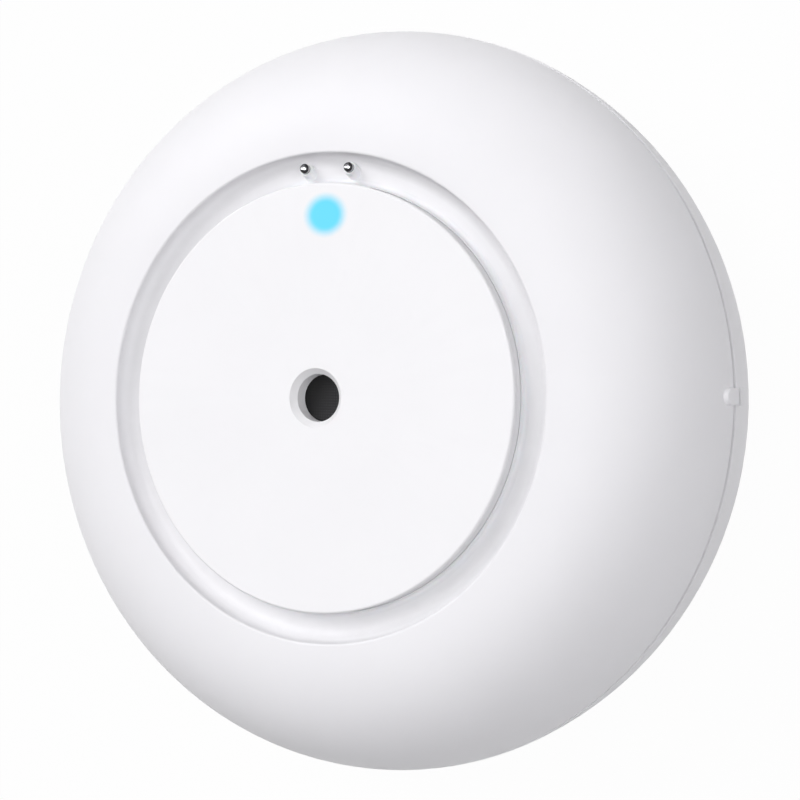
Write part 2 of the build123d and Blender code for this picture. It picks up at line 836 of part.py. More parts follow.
def base_cover():
    blank = soften_seam(below(body_solid(0), base_edge_z), base_edge_z)
    hollow = below(body_solid(base_wall), bore_floor_z)
    cover = blank - hollow - disc(base_bore_radius, bore_floor_z, seam_z)
    lug_top = seam_z - lug_depth
    bore = base_bore_radius - lug_radial
    for angle in spaced(lug_count, lug_first_angle):
        cover += sector(base_bore_radius + base_wall / 2, bore, lug_top - lug_thickness, lug_top,
                        angle - lug_half_angle, angle + lug_half_angle)
    rib_top = base_floor_z + base_rib_height
    half = base_rib_width / 2
    cover += ring(base_ring_radius + half, base_ring_radius - half, base_floor_z, rib_top)
    for angle in spaced(base_rib_count, 0):
        turn = full_turn_angle / base_rib_count / 2
        rib = block((base_rib_inner_radius, -half, base_floor_z), (base_ring_radius, half, rib_top))
        cover += Rot(0, 0, angle + turn - base_probe_first_angle) * rib
    for angle in spaced(base_probe_count, base_probe_first_angle):
        x, y, _ = polar(base_probe_circle_radius, angle)
        hole = base_probe_shank_radius + base_probe_shank_clearance
        cover -= disc(hole, 0, base_floor_z + overrun, x, y)
        cover -= disc(probe_gasket_radius, 0, base_height + probe_gasket_height, x, y)
    return cover + below(nub(), base_edge_z)


def base_probes():
    # Domed metal feet with a small flat where each meets the floor.
    probe = turned(
        Line((0, 0, 0), (base_probe_tip_radius, 0, 0)),
        quarter((base_probe_tip_radius, 0, 0), (base_probe_head_radius, 0, base_height),
                (base_probe_head_radius, 0, 0)),
        Polyline((base_probe_head_radius, 0, base_height), (base_probe_shank_radius, 0, base_height),
                 (base_probe_shank_radius, 0, base_probe_end_z), (0, 0, base_probe_end_z), (0, 0, 0)),
    )
    places = [polar(base_probe_circle_radius, angle)
              for angle in spaced(base_probe_count, base_probe_first_angle)]
    return Compound(children=[Pos(*place) * probe for place in places])


def round_the_shanks(washer):
    # One washer on the shank of each base probe.
    bore = disc(base_probe_shank_radius + base_probe_shank_clearance, 0, face_height)
    place = Pos(base_probe_circle_radius, 0, 0)
    angles = spaced(base_probe_count, base_probe_first_angle)
    return Compound(children=[Rot(0, 0, angle) * place * (washer - bore) for angle in angles])


def probe_gaskets():
    return round_the_shanks(disc(probe_gasket_radius, base_height, base_height + probe_gasket_height))


def probe_pads():
    # Square plates inside that the sprung contacts press on.
    half = contact_pad_half
    top_z = base_floor_z + contact_pad_height
    return round_the_shanks(block((-half, -half, base_floor_z), (half, half, top_z)))


def write_parts():
    os.makedirs("parts", exist_ok=True)
    nodes = {
        "top_housing": top_housing(),
        "housing_gasket": housing_gasket(),
        "button_seal": button_seal(),
        "button_disc": button_disc(),
        "sound_membrane": sound_membrane(),
        "membrane_ring": membrane_ring(),
        "upper_probes": upper_probes(),
        "probe_sleeves": probe_sleeves(),
        "inner_chassis": inner_chassis(),
        "chassis_screws": chassis_screws(),
        "board_screws": board_screws(),
        "circuit_board": circuit_board(),
        "battery_cell_left": cell(cell_spacing / 2, 1),
        "battery_cell_right": cell(-cell_spacing / 2, -1),
        "positive_contact": positive_contact(),
        "negative_contact": negative_contact(),
        "link_contact": link_contact(),
        "buzzer_case": buzzer_case(),
        "piezo_disc": piezo_disc(),
        "status_led": status_led(),
        "light_guide": light_guide(),
        "switch_body": switch_body(),
        "switch_plunger": switch_plunger(),
        "return_pads": return_pads(),
        "radio_module": radio_module(),
        "main_chip": main_chip(),
        "spring_contacts": spring_contacts(),
        "base_cover": base_cover(),
        "base_probes": base_probes(),
        "probe_gaskets": probe_gaskets(),
        "probe_pads": probe_pads(),
    }
    for name, shape in nodes.items():
        export_step(shape, f"parts/{name}.step")


write_parts()
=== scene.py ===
import json
from math import cos, pi, radians, sin

import bpy
from bpy.props import FloatProperty, FloatVectorProperty, IntProperty, PointerProperty
from mathutils import Matrix, Vector

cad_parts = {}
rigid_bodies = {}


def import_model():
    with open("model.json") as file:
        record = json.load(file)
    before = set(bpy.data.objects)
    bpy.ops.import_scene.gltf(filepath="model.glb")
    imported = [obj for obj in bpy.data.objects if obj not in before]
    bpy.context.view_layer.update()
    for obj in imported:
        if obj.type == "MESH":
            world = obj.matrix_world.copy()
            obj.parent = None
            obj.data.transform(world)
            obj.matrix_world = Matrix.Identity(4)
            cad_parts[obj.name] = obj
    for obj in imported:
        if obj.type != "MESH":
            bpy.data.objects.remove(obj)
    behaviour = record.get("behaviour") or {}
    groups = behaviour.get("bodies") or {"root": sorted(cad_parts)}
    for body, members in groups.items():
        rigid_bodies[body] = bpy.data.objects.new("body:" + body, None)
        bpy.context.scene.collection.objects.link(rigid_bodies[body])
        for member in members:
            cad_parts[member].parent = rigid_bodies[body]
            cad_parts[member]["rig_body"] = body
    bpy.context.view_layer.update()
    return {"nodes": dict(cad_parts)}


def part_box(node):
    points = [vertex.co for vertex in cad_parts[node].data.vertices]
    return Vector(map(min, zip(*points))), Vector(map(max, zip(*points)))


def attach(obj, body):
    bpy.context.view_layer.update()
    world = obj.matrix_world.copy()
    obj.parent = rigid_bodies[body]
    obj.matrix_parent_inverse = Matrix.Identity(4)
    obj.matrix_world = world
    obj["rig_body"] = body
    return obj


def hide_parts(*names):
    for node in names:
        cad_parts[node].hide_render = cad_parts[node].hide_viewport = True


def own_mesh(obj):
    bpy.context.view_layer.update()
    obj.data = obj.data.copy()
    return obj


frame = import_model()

bl_info = {
    "name": "Water Leak Sensor",
    "version": (1, 0, 0),
    "blender": (4, 5, 0),
    "location": "View3D > Sidebar > Leak Sensor",
    "description": "Dresses the pieces of a round water leak sensor and sets up its studio",
    "category": "Object",
}

NODES = frame["nodes"]
PLACE = {name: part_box(name) for name in NODES}
MM = 0.001


# Levels and radii that the finishes share, read from the pieces themselves

FACE_Z = PLACE["button_disc"][1].z
DISC_RADIUS = PLACE["button_disc"][1].y
SPOT_Y = (PLACE["status_led"][0].y + PLACE["status_led"][1].y) / 2 - 0.1 * MM
PROBE_RADIUS = 0.5 * MM
PROBE_Y = PLACE["upper_probes"][0].y + PROBE_RADIUS
PROBE_TIP_Z = PLACE["upper_probes"][1].z
PROBE_LEAN = radians(15)
PROBE_FOOT_Z = PLACE["probe_sleeves"][0].z
PROBE_TIP_Y = PROBE_Y + (PROBE_TIP_Z - PROBE_FOOT_Z) * sin(PROBE_LEAN) / cos(PROBE_LEAN)
PROBE_HALF_SPACING = PLACE["upper_probes"][1].x - PROBE_RADIUS
SEAM_Z = PLACE["base_cover"][1].z

# Sizes that no piece gives, for each screw its head radius, head height and shank radius

RUNNING_GAP = 0.04 * MM
CHASSIS_SCREW = (2.1 * MM, 1.5 * MM, 1.1 * MM)
BOARD_SCREW = (1.8 * MM, 0.9 * MM, 0.9 * MM)
SLEEVE_LIFT = 0.002 * MM
# Shift of the painted highlight on each probe tip, across and along.
PAINTED_HIGHLIGHT_SHIFT = (0.2 * MM, 0.17 * MM)
WELD = 0.0005 * MM
# Grey that the painted shade of the gutter, the seam and the button's foot blends towards.
PAINTED_SHADE_GREY = (0.40, 0.40, 0.41)


def colour_property(label, about, colour):
    return FloatVectorProperty(name=label, description=about, default=colour, size=3,
                               min=0, max=1, subtype="COLOR")


def length_property(label, about, metres):
    return FloatProperty(name=label, description=about, default=metres, min=0, unit="LENGTH",
                         subtype="DISTANCE", precision=5)


def angle_property(label, about, degrees):
    return FloatProperty(name=label, description=about, default=radians(degrees), unit="ROTATION",
                         subtype="ANGLE")


def share_property(label, about, share):
    return FloatProperty(name=label, description=about, default=share, min=0, max=1, subtype="FACTOR")


class ShellFinish(bpy.types.PropertyGroup):
    """Moulded white plastic of the housing, button and base."""
    housing: colour_property("Housing", "Colour of the domed front half", (0.920, 0.918, 0.930))
    base: colour_property("Base", "Colour of the rear half", (0.905, 0.903, 0.915))
    button: colour_property("Button", "Colour of the flat button", (0.955, 0.954, 0.960))
    # The seal's grey is painted shade: darker than the other mouldings, to match the painted shade of the gutter
    # it sits in.
    seal: colour_property("Seal", "Colour of the soft ring at the foot of the button", (0.800, 0.798, 0.812))
    collar: colour_property("Collar", "Colour of the collars of the upper probes", (0.915, 0.913, 0.925))
    # Share of painted shade in the gutter, the seam and on the foot of the button's side wall, where shade falls.
    painted_shade: share_property("Painted shade", "How much fine dust dims the gutter", 0.24)
    roughness: share_property("Roughness", "How matt the moulded faces are", 0.46)
    grain_size: length_property("Grain size", "Size of the spark-eroded grain", 0.16 * MM)
    grain_depth: length_property("Grain depth", "Depth of the grain", 0.004 * MM)


class LightFinish(bpy.types.PropertyGroup):
    """Blue status light, painted on the button's face as a glowing spot."""
    glow: colour_property("Glow", "Colour of the lit spot", (0.130, 0.70, 0.95))
    core: length_property("Core", "Half width of the evenly lit spot", 1.38 * MM)
    halo: length_property("Halo", "Half width where the glow has faded out", 2.76 * MM)
    height: share_property("Height", "Height of the spot as a share of its width", 0.90)
    shift: length_property("Shift", "How far the spot lies to the right of the probes' middle", 0.45 * MM)
    strength: FloatProperty(name="Strength", description="Brightness of the lit spot", default=1.0, min=0)


class MetalFinish(bpy.types.PropertyGroup):
    """Plated and bare metals."""
    pin: colour_property("Pin", "Plating of the upper probes", (0.50, 0.50, 0.51))
    foot: colour_property("Foot", "Stainless steel of the base probes", (0.62, 0.62, 0.62))
    nickel: colour_property("Nickel", "Plating of the battery contacts", (0.66, 0.64, 0.60))
    brass: colour_property("Brass", "Sheet of the sounder", (0.72, 0.50, 0.20))
    gold: colour_property("Gold", "Plating of the sprung contacts", (0.83, 0.60, 0.24))
    polish: share_property("Polish", "Roughness of the bright faces", 0.16)


class InsideFinish(bpy.types.PropertyGroup):
    """What the closed housing holds."""
    chassis: colour_property("Chassis", "Plain moulded plastic", (0.78, 0.79, 0.80))
    mask: colour_property("Board", "Solder mask of the circuit board", (0.012, 0.12, 0.055))
    wrap: colour_property("Cell", "Wrap of the battery cells", (0.035, 0.04, 0.05))
    black: colour_property("Black plastic", "Sounder, switch and chip", (0.014, 0.014, 0.015))
    membrane: colour_property("Membrane", "Sound-passing cloth", (0.024, 0.024, 0.026))
    rubber: colour_property("Rubber", "Grey silicone of the seals", (0.07, 0.075, 0.085))


class ScrewSizes(bpy.types.PropertyGroup):
    """Pan head screws of the chassis and the board."""
    recess_reach: share_property("Recess reach", "Arm of the cross recess as a share of the head", 0.56)
    recess_width: share_property("Recess width", "Width of the cross recess as a share of the head", 0.24)
    sides: IntProperty(name="Sides", description="Faces round each screw", default=32, min=12, max=64)
    thread_rows: IntProperty(name="Thread rows", description="Faces along each thread", default=60,
                             min=12, max=200)


class StudioSetup(bpy.types.PropertyGroup):
    """Camera, lamps and floor."""
    camera: FloatVectorProperty(name="Camera", description="Place of the camera", size=3,
                                default=(0.081924, 0.00007, 0.171929), unit="LENGTH", subtype="XYZ")
    camera_right: FloatVectorProperty(name="Right", description="Direction that is right in the picture",
                                      size=3, default=(0.89315, 0.03470, -0.44841), subtype="DIRECTION")
    camera_up: FloatVectorProperty(name="Up", description="Direction that is up in the picture",
                                   size=3, default=(-0.03101, 0.99940, 0.01557), subtype="DIRECTION")
    lens: FloatProperty(name="Lens", description="Focal length on a sensor 36 mm wide", default=73.247,
                        min=10, max=300)
    floor: colour_property("Floor", "Colour of the floor as the lamps light it", (0.68, 0.68, 0.68))
    floor_size: length_property("Floor size", "Side of the square floor", 3.0)
    white_share: share_property("White share", "How much of the floor the camera sees as plain white", 0.97)
    sky_colour: colour_property("Sky colour", "Tint of the soft light", (0.86, 0.87, 1.0))
    key_colour: colour_property("Key colour", "Tint of the main lamp", (0.992, 0.985, 1.0))
    fill_colour: colour_property("Fill colour", "Tint of the second lamp", (0.985, 0.975, 1.0))
    sky: FloatProperty(name="Sky", description="Strength of the soft light all round", default=0.03, min=0)
    key: FloatProperty(name="Key", description="Strength of the main lamp", default=1.78, min=0)
    key_bearing: angle_property("Key bearing", "Direction the main lamp shines from, seen from above", 138)
    key_height: angle_property("Key height", "Angle of the main lamp above the floor", 42)
    fill: FloatProperty(name="Fill", description="Strength of the second lamp", default=1.0, min=0)
    fill_bearing: angle_property("Fill bearing", "Direction the second lamp shines from", 0)
    fill_height: angle_property("Fill height", "Angle of the second lamp above the floor", 42)
    top: FloatProperty(name="Top", description="Strength of the lamp straight above", default=1.1, min=0)
    softness: angle_property("Softness", "Width of each lamp as seen from the sensor", 40)


class LeakSensorSettings(bpy.types.PropertyGroup):
    """All settings of the sensor."""
    shell: PointerProperty(type=ShellFinish, name="Shell", description="White mouldings")
    light: PointerProperty(type=LightFinish, name="Light", description="Status light")
    metal: PointerProperty(type=MetalFinish, name="Metal", description="Plated and bare metals")
    inside: PointerProperty(type=InsideFinish, name="Inside", description="Hidden pieces")
    screws: PointerProperty(type=ScrewSizes, name="Screws", description="Pan head screws")
    studio: PointerProperty(type=StudioSetup, name="Studio", description="Camera, lamps and floor")


# Building node trees

class Nodes:
    """Short names for making the nodes of a tree."""

    def __init__(self, tree):
        self.tree = tree

    def node(self, kind, inputs=None, **settings):
        made = self.tree.nodes.new(kind)
        for key, value in settings.items():
            setattr(made, key, value)
        for key, value in (inputs or {}).items():
            self.put(value, made.inputs[key])
        return made

    def put(self, value, socket):
        if isinstance(value, bpy.types.NodeSocket):
            self.tree.links.new(value, socket)
        else:
            socket.default_value = value

    def math(self, operation, *values):
        made = self.node("ShaderNodeMath", operation=operation)
        for value, socket in zip(values, made.inputs):
            self.put(value, socket)
        return made.outputs[0]

    def plus(self, first, second):
        return self.math("ADD", first, second)

    def minus(self, first, second):
        return self.math("SUBTRACT", first, second)

    def times(self, first, second):
        return self.math("MULTIPLY", first, second)

    def over(self, first, second):
        return self.math("DIVIDE", first, second)

    def split(self, vector):
        return self.node("ShaderNodeSeparateXYZ", {"Vector": vector}).outputs


# Building materials

class Recipe(Nodes):
    """A material in the making."""

    def __init__(self, name, roughness, metallic=0.0):
        plain = bpy.data.materials.get(name)
        if plain is not None:
            bpy.data.materials.remove(plain)
        self.material = bpy.data.materials.new(name)
        self.material.use_nodes = True
        super().__init__(self.material.node_tree)
        self.shader = self.tree.nodes["Principled BSDF"]
        self.feed(roughness, "Roughness")
        self.feed(metallic, "Metallic")
        self.place = self.node("ShaderNodeTexCoord").outputs["Object"]

    def feed(self, source, socket):
        self.put(source, self.shader.inputs[socket])

    def plain(self):
        # Colour that the shader is fed so far.
        return self.shader.inputs["Base Color"].links[0].from_socket

    def mapped(self, scale=(1, 1, 1), turn=(0, 0, 0)):
        return self.node("ShaderNodeMapping", {"Vector": self.place, "Rotation": turn, "Scale": scale}).outputs[0]

    def noise(self, size, detail=2.0, roughness=0.5, vector=None):
        # Noise whose features are about size metres across.
        made = self.node("ShaderNodeTexNoise", {"Scale": 1 / size, "Detail": detail, "Roughness": roughness,
                                                "Vector": vector or self.place})
        return made.outputs["Fac"]

    def spots(self, size):
        return self.node("ShaderNodeTexVoronoi", {"Scale": 1 / size, "Vector": self.place}).outputs["Distance"]

    def spread(self, source, low, high, start=0.0, end=1.0):
        # Source from start to end becomes low to high.
        made = self.node("ShaderNodeMapRange", interpolation_type="SMOOTHSTEP", inputs={
            "Value": source, "From Min": start, "From Max": end, "To Min": low, "To Max": high})
        return made.outputs["Result"]

    def roughen(self, source, low, high, start=0.3, end=0.7):
        self.feed(self.spread(source, low, high, start, end), "Roughness")

    def blend(self, share, first, second):
        # Colour that goes from first to second as share goes from 0 to 1. Sockets 6 and 7 take the colours.
        made = self.node("ShaderNodeMix", {0: share}, data_type="RGBA")
        for socket, value in ((made.inputs[6], first), (made.inputs[7], second)):
            self.put(value if isinstance(value, bpy.types.NodeSocket) else (*value, 1), socket)
        return made.outputs[2]

    def split(self):
        return super().split(self.place)

    def far(self, across, along):
        return self.math("SQRT", self.plus(self.math("POWER", across, 2), self.math("POWER", along, 2)))

    def from_axis(self, x=0.0, y=0.0, height=1.0):
        # Distance from an upright axis, or across an oval whose height is a share of its width.
        parts = self.split()
        return self.far(self.minus(parts[0], x), self.over(self.minus(parts[1], y), height))

    def bump(self, height, depth, strength=1.0, under=None):
        made = self.node("ShaderNodeBump", {"Distance": depth, "Strength": strength, "Height": height})
        if under is not None:
            self.put(under, made.inputs["Normal"])
        return made.outputs["Normal"]

    def tinted(self, colour, change=0.03, size=9 * MM):
        # Colour with a slow, slight change across the piece.
        cloud = self.spread(self.noise(size, detail=3), 0, 1, 0.3, 0.7)
        darker = [c * (1 - change) for c in colour]
        return self.blend(cloud, colour, darker)


def moulded(name, colour, finish, gloss=1.0):
    """White or coloured moulding with a spark-eroded grain."""
    rough = finish.roughness * gloss
    made = Recipe(name, rough)
    made.feed(made.tinted(colour, 0.012), "Base Color")
    grain = made.noise(finish.grain_size, detail=3, roughness=0.6)
    patches = made.noise(6 * MM, detail=2)
    made.roughen(patches, rough * 0.94, rough * 1.06)
    made.feed(made.bump(grain, finish.grain_depth), "Normal")
    made.feed(0.28, "Specular IOR Level")
    return made


def lit_button(name, colour, finish, light):
    """Button plastic with the blue light of the LED painted on its face as a glowing spot, and painted shade on
    the foot of its side wall.
    """
    made = moulded(name, colour, finish)
    # Painted glow of the LED: inside the spot the base colour goes near black and emission gives the light.
    far = made.from_axis(light.shift, SPOT_Y, light.height)
    level = made.split()[2]
    top = made.spread(level, 0, 1, FACE_Z - 0.5 * MM, FACE_Z - 0.3 * MM)
    edge = made.noise(0.7 * MM, detail=1)
    wobble = made.times(made.minus(edge, 0.5), 0.06 * MM)
    inside = made.spread(made.plus(far, wobble), 1, 0, light.core, light.halo)
    lit = made.times(inside, top)
    # Painted shade on the lower part of the button's side wall, at its foot in the gutter.
    side = made.times(made.spread(level, 1, 0, FACE_Z - 0.6 * MM, FACE_Z - 0.2 * MM),
                      made.spread(made.from_axis(), 0, 1, DISC_RADIUS - 1.0 * MM, DISC_RADIUS - 0.8 * MM))
    plain = made.plain()
    painted_foot_shade = made.blend(made.times(side, finish.painted_shade), plain, PAINTED_SHADE_GREY)
    made.feed(made.blend(lit, painted_foot_shade, (0.0, 0.02, 0.03)), "Base Color")
    made.feed(made.blend(lit, (0, 0, 0), tuple(light.glow)), "Emission Color")
    made.feed(light.strength, "Emission Strength")
    return made


def painted_gutter_shade(made, painted_shade):
    """Painted shade between the button and the lip and in the seam, where shade falls, uneven in patches, which
    takes a little off the white.
    """
    far = made.from_axis()
    rim = PLACE["top_housing"][1].y
    # Painted shade in the seam and in the gutter ring, uneven in patches.
    seam = made.times(made.spread(far, 1, 0, rim - 1.0 * MM, rim - 0.6 * MM),
                      made.spread(made.split()[2], 1, 0, SEAM_Z + 0.6 * MM, SEAM_Z + 0.8 * MM))
    ring = made.times(made.spread(far, 0, 1, DISC_RADIUS - 0.3 * MM, DISC_RADIUS + 0.3 * MM),
                      made.spread(far, 1, 0, DISC_RADIUS + 2.2 * MM, DISC_RADIUS + 3.2 * MM))
    patchy = made.spread(made.noise(2.5 * MM, detail=3), 0.85, 1, 0.3, 0.7)
    plain = made.plain()
    dimmed = made.times(made.times(ring, patchy), painted_shade)
    dimmed = made.math("MAXIMUM", dimmed, made.times(seam, painted_shade * 1.6))
    made.feed(made.blend(dimmed, plain, PAINTED_SHADE_GREY), "Base Color")
    return made


def silicone(name, colour, roughness=0.5, soft=0.1):
    """Soft moulded silicone with a satin skin and a little dust."""
    made = Recipe(name, roughness)
    made.feed(made.tinted(colour, 0.04, 3 * MM), "Base Color")
    skin = made.noise(0.12 * MM, detail=2)
    made.roughen(skin, roughness * 0.85, roughness * 1.1)
    made.feed(made.bump(skin, 0.003 * MM, 0.6), "Normal")
    made.feed(soft, "Subsurface Weight")
    made.feed(0.6 * MM, "Subsurface Scale")
    made.feed(0.35, "Specular IOR Level")
    return made


def polished(name, colour, roughness, scratch=0.08 * MM):
    """Bright metal with fine turned marks."""
    made = Recipe(name, roughness, metallic=1.0)
    made.feed(made.tinted(colour, 0.12, 0.5 * MM), "Base Color")
    marks = made.noise(scratch, detail=4, roughness=0.7, vector=made.mapped(scale=(0.3, 0.3, 3)))
    made.roughen(marks, roughness * 0.6, roughness * 1.6, 0.25, 0.75)
    made.feed(made.bump(marks, 0.0015 * MM, 0.5), "Normal")
    return made


def brushed(name, colour, roughness=0.3, along=(0.05, 1, 1)):
    """Rolled sheet with long fine lines."""
    made = Recipe(name, roughness, metallic=1.0)
    lines = made.noise(0.06 * MM, detail=5, roughness=0.65, vector=made.mapped(scale=along))
    made.feed(made.blend(made.spread(lines, 0, 1, 0.3, 0.7), colour, [c * 0.8 for c in colour]), "Base Color")
    made.roughen(lines, roughness * 0.7, roughness * 1.3)
    made.feed(made.bump(lines, 0.002 * MM, 0.6), "Normal")
    return made


def probe_pin(name, colour, roughness):
    """Plated pin with a painted reflection of darker surroundings on its rounded edge, broken on one side by a
    painted highlight, round a painted highlight on the tip.
    """
    made = polished(name, colour, roughness)
    x, y, level = made.split()
    side = made.math("SIGN", x)
    across = made.minus(made.minus(x, made.times(side, PROBE_HALF_SPACING)), PAINTED_HIGHLIGHT_SHIFT[0])
    along = made.minus(y, PROBE_TIP_Y - PAINTED_HIGHLIGHT_SHIFT[1])
    far = made.far(across, along)
    # Painted reflection: a darker ring on the rounded edge of each tip, opened on one side by a painted
    # highlight, round a painted bright spot on the tip.
    ring = made.spread(far, 0, 1, 0.08 * MM, 0.18 * MM)
    top = made.spread(level, 0, 1, PROBE_TIP_Z - 0.42 * MM, PROBE_TIP_Z - 0.30 * MM)
    painted_highlight_side = made.times(made.spread(across, 1, 0, -0.16 * MM, -0.04 * MM),
                      made.spread(made.math("ABSOLUTE", along), 1, 0, 0.05 * MM, 0.13 * MM))
    dark = made.times(made.times(ring, top), made.minus(1.0, painted_highlight_side))
    tip = made.times(top, made.minus(1.0, ring))
    plain = made.plain()
    painted_highlight_colour = made.blend(tip, plain, (0.86, 0.86, 0.87))
    made.feed(made.blend(dark, painted_highlight_colour, (0.045, 0.045, 0.048)), "Base Color")
    return made


def woven_membrane(name, colour):
    """Black cloth of crossing threads, with painted shade that darkens it along a slant towards -x and +y."""
    made = Recipe(name, 0.55)
    across = made.node("ShaderNodeTexWave", wave_type="BANDS", bands_direction="X")
    along = made.node("ShaderNodeTexWave", wave_type="BANDS", bands_direction="Y")
    for wave in (across, along):
        for key, value in (("Scale", 1 / (0.9 * MM)), ("Distortion", 0.4), ("Vector", made.place)):
            made.put(value, wave.inputs[key])
    weave = made.times(across.outputs["Fac"], along.outputs["Fac"])
    parts = made.split()
    # Painted shade where the rim of the hole shades the cloth: darker towards -x and +y.
    slant = made.minus(made.times(parts[0], 0.9), made.times(parts[1], 0.45))
    painted_side_shade = made.spread(slant, 0, 1, -1.9 * MM, 1.9 * MM)
    thread = made.blend(weave, [c * 0.6 for c in colour], [c * 1.5 for c in colour])
    made.feed(made.blend(painted_side_shade, [c * 0.15 for c in colour], thread), "Base Color")
    made.feed(made.bump(weave, 0.02 * MM, 0.7), "Normal")
    made.feed(0.16, "Specular IOR Level")
    made.feed(0.03, "Sheen Weight")
    made.feed(0.5, "Sheen Roughness")
    return made


def foam(name, colour):
    """Closed cell foam."""
    made = Recipe(name, 0.85)
    cells = made.spots(0.18 * MM)
    made.feed(made.blend(made.spread(cells, 0, 1, 0, 0.6), [c * 1.6 for c in colour], colour), "Base Color")
    made.feed(made.bump(cells, 0.04 * MM), "Normal")
    return made


def solder_mask(name, colour):
    """Green lacquer over copper tracks, bare glass fibre at the rim."""
    made = Recipe(name, 0.3)
    brick = made.node("ShaderNodeTexBrick", offset=0.35, inputs={
        "Scale": 1 / (7 * MM), "Mortar Size": 0.035, "Brick Width": 0.9, "Row Height": 0.28,
        "Vector": made.mapped(turn=(0, 0, radians(45)))})
    track = brick.outputs["Fac"]
    lacquer = made.blend(track, colour, [c * 1.9 for c in colour])
    edge = PLACE["circuit_board"][1].x
    rim = made.spread(made.from_axis(), 0, 1, edge - 0.25 * MM, edge - 0.15 * MM)
    made.feed(made.blend(rim, lacquer, (0.42, 0.38, 0.22)), "Base Color")
    grain = made.noise(0.3 * MM, detail=2)
    made.roughen(grain, 0.24, 0.36)
    made.feed(made.bump(track, 0.03 * MM, 0.8, made.bump(grain, 0.003 * MM, 0.4)), "Normal")
    made.feed(0.4, "Coat Weight")
    return made


def cell_wrap(name, colour, nub_end):
    """Plain printed wrap with a pale band, shrunk over bare steel ends."""
    made = Recipe(name, 0.35)
    x = made.split()[0]
    low, high = PLACE["battery_cell_left"][0].x, PLACE["battery_cell_left"][1].x
    towards = made.times(x, nub_end)
    bare = made.math("MAXIMUM", made.spread(towards, 0, 1, high - 1.55 * MM, high - 1.5 * MM),
                     made.spread(towards, 1, 0, low + 0.55 * MM, low + 0.6 * MM))
    band = made.spread(towards, 0, 1, high - 11 * MM, high - 10.9 * MM)
    printed = made.blend(band, colour, (0.30, 0.31, 0.33))
    wrinkle = made.noise(1.2 * MM, detail=3, vector=made.mapped(scale=(0.2, 1, 1)))
    made.feed(made.blend(bare, printed, (0.62, 0.61, 0.58)), "Base Color")
    made.feed(bare, "Metallic")
    made.roughen(wrinkle, 0.26, 0.42)
    made.feed(made.bump(wrinkle, 0.02 * MM, 0.5), "Normal")
    return made


def clear_acrylic(name):
    """Clear moulded light guide with a faint blue edge."""
    made = Recipe(name, 0.12)
    haze = made.noise(0.5 * MM, detail=2)
    made.feed(made.blend(made.spread(haze, 0, 1, 0.3, 0.7), (0.90, 0.96, 0.99), (0.80, 0.92, 0.98)), "Base Color")
    made.roughen(haze, 0.08, 0.2)
    made.feed(0.9, "Transmission Weight")
    made.feed(1.49, "IOR")
    return made


def piezo_sheet(name, brass):
    """Brass sheet with a grey fired ceramic disc in the middle."""
    made = brushed(name, brass, 0.32)
    plain = made.plain()
    radius = (PLACE["piezo_disc"][1].x - PLACE["piezo_disc"][0].x) / 2
    middle = made.spread(made.from_axis(), 1, 0, radius * 0.66, radius * 0.67)
    made.feed(made.blend(middle, plain, (0.62, 0.60, 0.55)), "Base Color")
    made.feed(made.minus(1.0, made.times(middle, 0.8)), "Metallic")
    return made


def paint(made, *names):
    """Gives each named piece the one material."""
    for name in names:
        mesh = NODES[name].data
        mesh.materials.clear()
        mesh.materials.append(made.material)


# Shaping with Geometry Nodes

